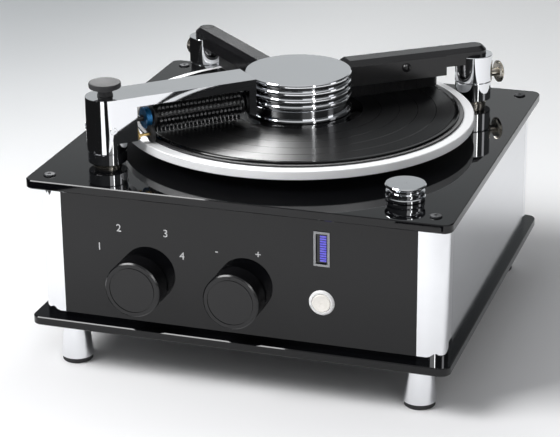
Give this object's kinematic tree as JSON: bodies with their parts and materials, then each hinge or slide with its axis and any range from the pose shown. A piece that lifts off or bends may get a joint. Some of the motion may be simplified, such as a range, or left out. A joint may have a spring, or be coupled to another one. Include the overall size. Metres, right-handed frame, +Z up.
{
  "type": "record cleaning machine",
  "caption": "Vacuum record cleaning machine: black plate case on cone feet, driven platter with clamp, roller brush arm, suction arm, fluid arm, dial knobs and lit display.",
  "frame": {"origin": "centre of the bounding box in plan, on the surface the feet stand on", "axes": "+Z up, the front panel with the knobs faces -Y, +X to the right of someone facing the front"},
  "size_m": [0.39, 0.389, 0.2608],
  "materials": {
    "black_acrylic": "polished black acrylic",
    "satin_aluminium": "satin anodised",
    "chrome": "mirror chrome",
    "dark_steel": "blackened steel",
    "rubber": "matt",
    "steel": "turned",
    "motor_metal": "painted",
    "hose_plastic": "ribbed hose",
    "tank_plastic": "milky plastic",
    "board_green": "circuit board",
    "switch_plastic": "moulded",
    "black_plastic": "moulded black",
    "display_blue": "lit bar display",
    "platter_metal": "fine turned, silver",
    "mat_rubber": "matt black mat",
    "vinyl": "grooved black vinyl",
    "brass": "polished",
    "brush_black": "black brush",
    "ring_blue": "blue anodised",
    "knob_black": "fine satin black",
    "arm_black": "satin black anodised",
    "felt": "short velvet",
    "nickel": "nickel plated, warm",
    "button_cream": "lit cream cap"
  },
  "bodies": {
    "chassis": {"top_plate": "black_acrylic", "bottom_plate": "black_acrylic", "front_panel": "black_acrylic", "rear_panel": "black_acrylic", "side_panels": "satin_aluminium", "corner_posts": "chrome", "plate_screws": "dark_steel", "feet": "chrome", "foot_pads": "rubber", "bearing_housing": "steel", "drive_motor": "motor_metal", "drive_belt": "rubber", "vacuum_turbine": "motor_metal", "suction_hose": "hose_plastic", "waste_tank": "tank_plastic", "fluid_tank": "tank_plastic", "fluid_pump": "motor_metal", "power_supply": "motor_metal", "control_board": "board_green", "panel_switches": "switch_plastic", "display_bezel": "steel", "display_bar": "display_blue", "start_ring": "chrome", "filler_neck": "black_plastic", "arm_posts": "steel", "mains_inlet": "black_plastic", "drain_fitting": "steel"},
    "platter": {"platter": "platter_metal", "platter_mat": "mat_rubber", "record": "vinyl", "platter_shaft": "steel"},
    "motor_pulley": {"motor_pulley": "steel"},
    "clamp": {"clamp_body": "chrome", "clamp_base": "chrome"},
    "brush_lift": {"brush_collar": "chrome"},
    "brush_arm": {"brush_arm": "chrome", "idler_lever": "brass", "brush_set_screws": "chrome"},
    "roller": {"roller_core": "brush_black", "roller_bristles": "brush_black", "drive_ring": "ring_blue"},
    "idler": {"idler_wheel": "rubber"},
    "lock_knob": {"lock_knob": "knob_black"},
    "vacuum_lift": {"vacuum_collar": "chrome"},
    "vacuum_arm": {"vacuum_hub": "chrome", "vacuum_arm": "arm_black", "vacuum_nozzle": "arm_black", "vacuum_felt": "felt"},
    "vacuum_thumbscrew": {"vacuum_thumbscrew": "nickel"},
    "fluid_lift": {"fluid_collar": "chrome"},
    "fluid_arm": {"fluid_hub": "chrome", "fluid_arm": "arm_black", "fluid_plate": "arm_black", "fluid_bristles": "brush_black"},
    "fluid_thumbscrew": {"fluid_thumbscrew": "nickel"},
    "selector_knob": {"selector_knob": "knob_black"},
    "power_knob": {"power_knob": "knob_black"},
    "start_button": {"start_button": "button_cream"},
    "filler_cap": {"filler_cap": "chrome"},
    "mains_rocker": {"mains_rocker": "black_plastic"}
  },
  "joints": [
    {"name": "platter_spin", "type": "hinge", "parent": "chassis", "child": "platter", "pos_m": [0, 0.0112, 0.1825], "axis": [0, 0, 1], "continuous": true},
    {"name": "motor_spin", "type": "hinge", "parent": "chassis", "child": "motor_pulley", "pos_m": [-0.095, 0.0112, 0.1825], "axis": [0, 0, 1], "continuous": true},
    {"name": "clamp_lift", "type": "slide", "parent": "platter", "child": "clamp", "axis": [0, 0, 1], "range_m": [0, 0.03]},
    {"name": "brush_raise", "type": "slide", "parent": "chassis", "child": "brush_lift", "axis": [0, 0, 1], "range_m": [0, 0.008]},
    {"name": "brush_swing", "type": "hinge", "parent": "brush_lift", "child": "brush_arm", "pos_m": [-0.1375, -0.1251, 0.1825], "axis": [0, 0, 1], "range_deg": [-65, 0]},
    {"name": "roller_spin", "type": "hinge", "parent": "brush_arm", "child": "roller", "pos_m": [-0.1375, -0.1251, 0.2214], "axis": [0.7272, 0.6864, 0], "continuous": true},
    {"name": "idler_spin", "type": "hinge", "parent": "brush_arm", "child": "idler", "pos_m": [-0.1276, -0.13559, 0.21055], "axis": [0.7272, 0.6864, 0], "continuous": true},
    {"name": "lock_turn", "type": "hinge", "parent": "brush_arm", "child": "lock_knob", "pos_m": [-0.1375, -0.1251, 0.1825], "axis": [0, 0, 1], "range_deg": [0, 180]},
    {"name": "vacuum_raise", "type": "slide", "parent": "chassis", "child": "vacuum_lift", "axis": [0, 0, 1], "range_m": [0, 0.008]},
    {"name": "vacuum_swing", "type": "hinge", "parent": "vacuum_lift", "child": "vacuum_arm", "pos_m": [-0.1375, 0.1412, 0.1825], "axis": [0, 0, 1], "range_deg": [-60, 0]},
    {"name": "vacuum_thumb_turn", "type": "hinge", "parent": "vacuum_arm", "child": "vacuum_thumbscrew", "pos_m": [-0.1375, 0.1412, 0.2118], "axis": [-0.7158, 0.6983, 0], "range_deg": [0, 360]},
    {"name": "fluid_raise", "type": "slide", "parent": "chassis", "child": "fluid_lift", "axis": [0, 0, 1], "range_m": [0, 0.008]},
    {"name": "fluid_swing", "type": "hinge", "parent": "fluid_lift", "child": "fluid_arm", "pos_m": [0.1375, 0.1412, 0.1825], "axis": [0, 0, 1], "range_deg": [0, 55]},
    {"name": "fluid_thumb_turn", "type": "hinge", "parent": "fluid_arm", "child": "fluid_thumbscrew", "pos_m": [0.1375, 0.1412, 0.2118], "axis": [0.7913, 0.6114, 0], "range_deg": [0, 360]},
    {"name": "selector_turn", "type": "hinge", "parent": "chassis", "child": "selector_knob", "pos_m": [-0.09, -0.1735, 0.0932], "axis": [0, -1, 0], "range_deg": [0, 90]},
    {"name": "power_turn", "type": "hinge", "parent": "chassis", "child": "power_knob", "pos_m": [0.002, -0.1735, 0.0932], "axis": [0, -1, 0], "range_deg": [-150, 150]},
    {"name": "start_press", "type": "slide", "parent": "chassis", "child": "start_button", "axis": [0, 1, 0], "range_m": [0, 0.0015], "stiffness_N_per_m": 400, "springref_m": -0.0005},
    {"name": "filler_lift", "type": "slide", "parent": "chassis", "child": "filler_cap", "axis": [0, 0, 1], "range_m": [0, 0.03]},
    {"name": "rocker_tip", "type": "hinge", "parent": "chassis", "child": "mains_rocker", "pos_m": [0.11, 0.184, 0.1125], "axis": [1, 0, 0], "range_deg": [0, 10]}
  ],
  "couplings": [
    {"joint": "motor_spin", "follows": "platter_spin", "ratio": 3.437},
    {"joint": "idler_spin", "follows": "roller_spin", "ratio": -1.2532}
  ]
}
